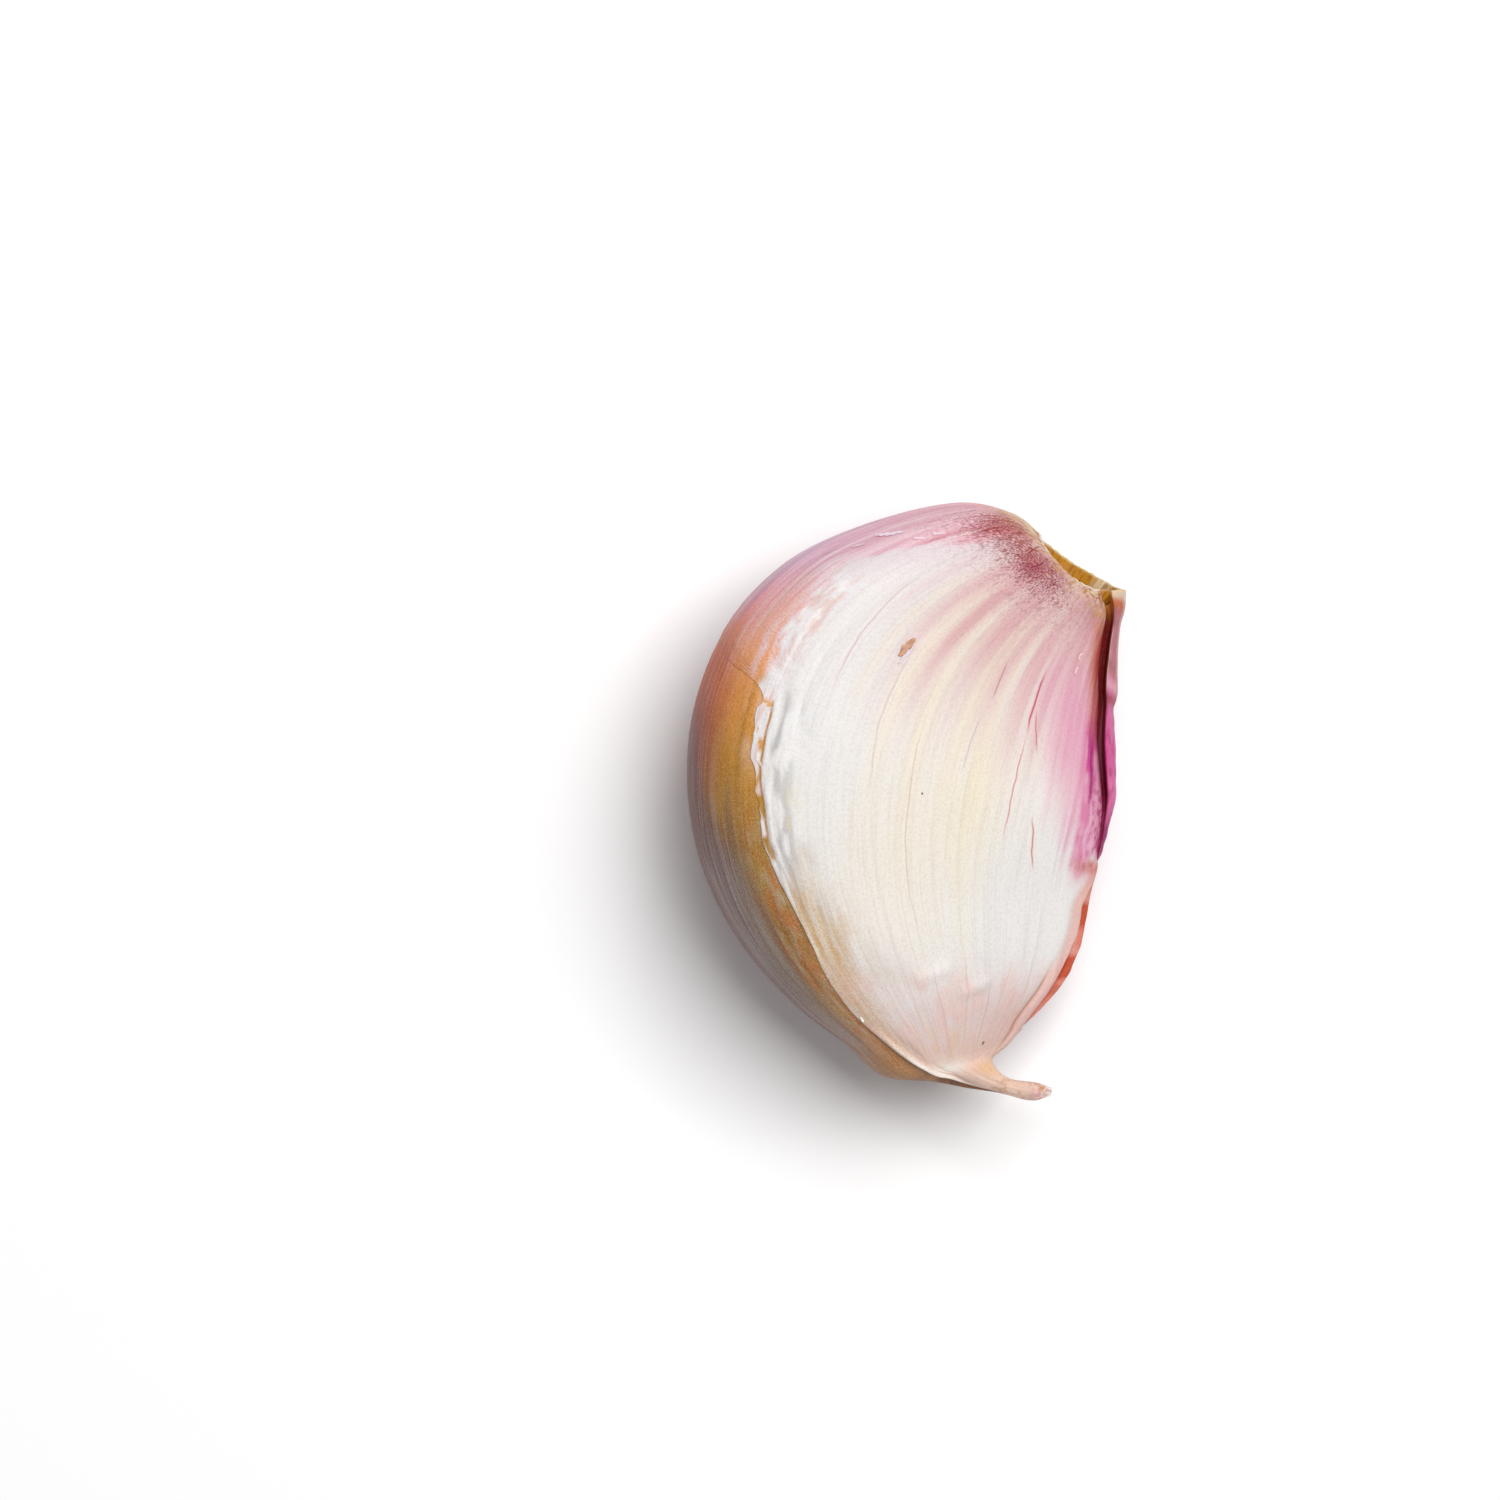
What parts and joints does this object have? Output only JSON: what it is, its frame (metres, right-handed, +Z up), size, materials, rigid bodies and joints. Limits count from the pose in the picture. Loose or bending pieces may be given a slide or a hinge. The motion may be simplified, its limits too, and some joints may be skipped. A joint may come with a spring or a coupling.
{
  "type": "garlic clove",
  "caption": "Loose garlic clove in its dry skin, with a torn papery leaf on its upper side, a scooped root scar and a twisted tail, lying on a flat side.",
  "frame": {"origin": "on the surface that the clove lies on, under the middle of its box", "axes": "+Y from the tail towards the root end, +X from the round back towards the keel, +Z up"},
  "size_m": [0.0236, 0.032, 0.017],
  "materials": {
    "clove_skin": "dry, satin, finely ribbed skin, tan to purple",
    "papery_leaf": "thin papery leaf, cream to pink, satin"
  },
  "bodies": {
    "root": {"clove": "clove_skin", "papery_leaf": "papery_leaf"}
  },
  "joints": []
}
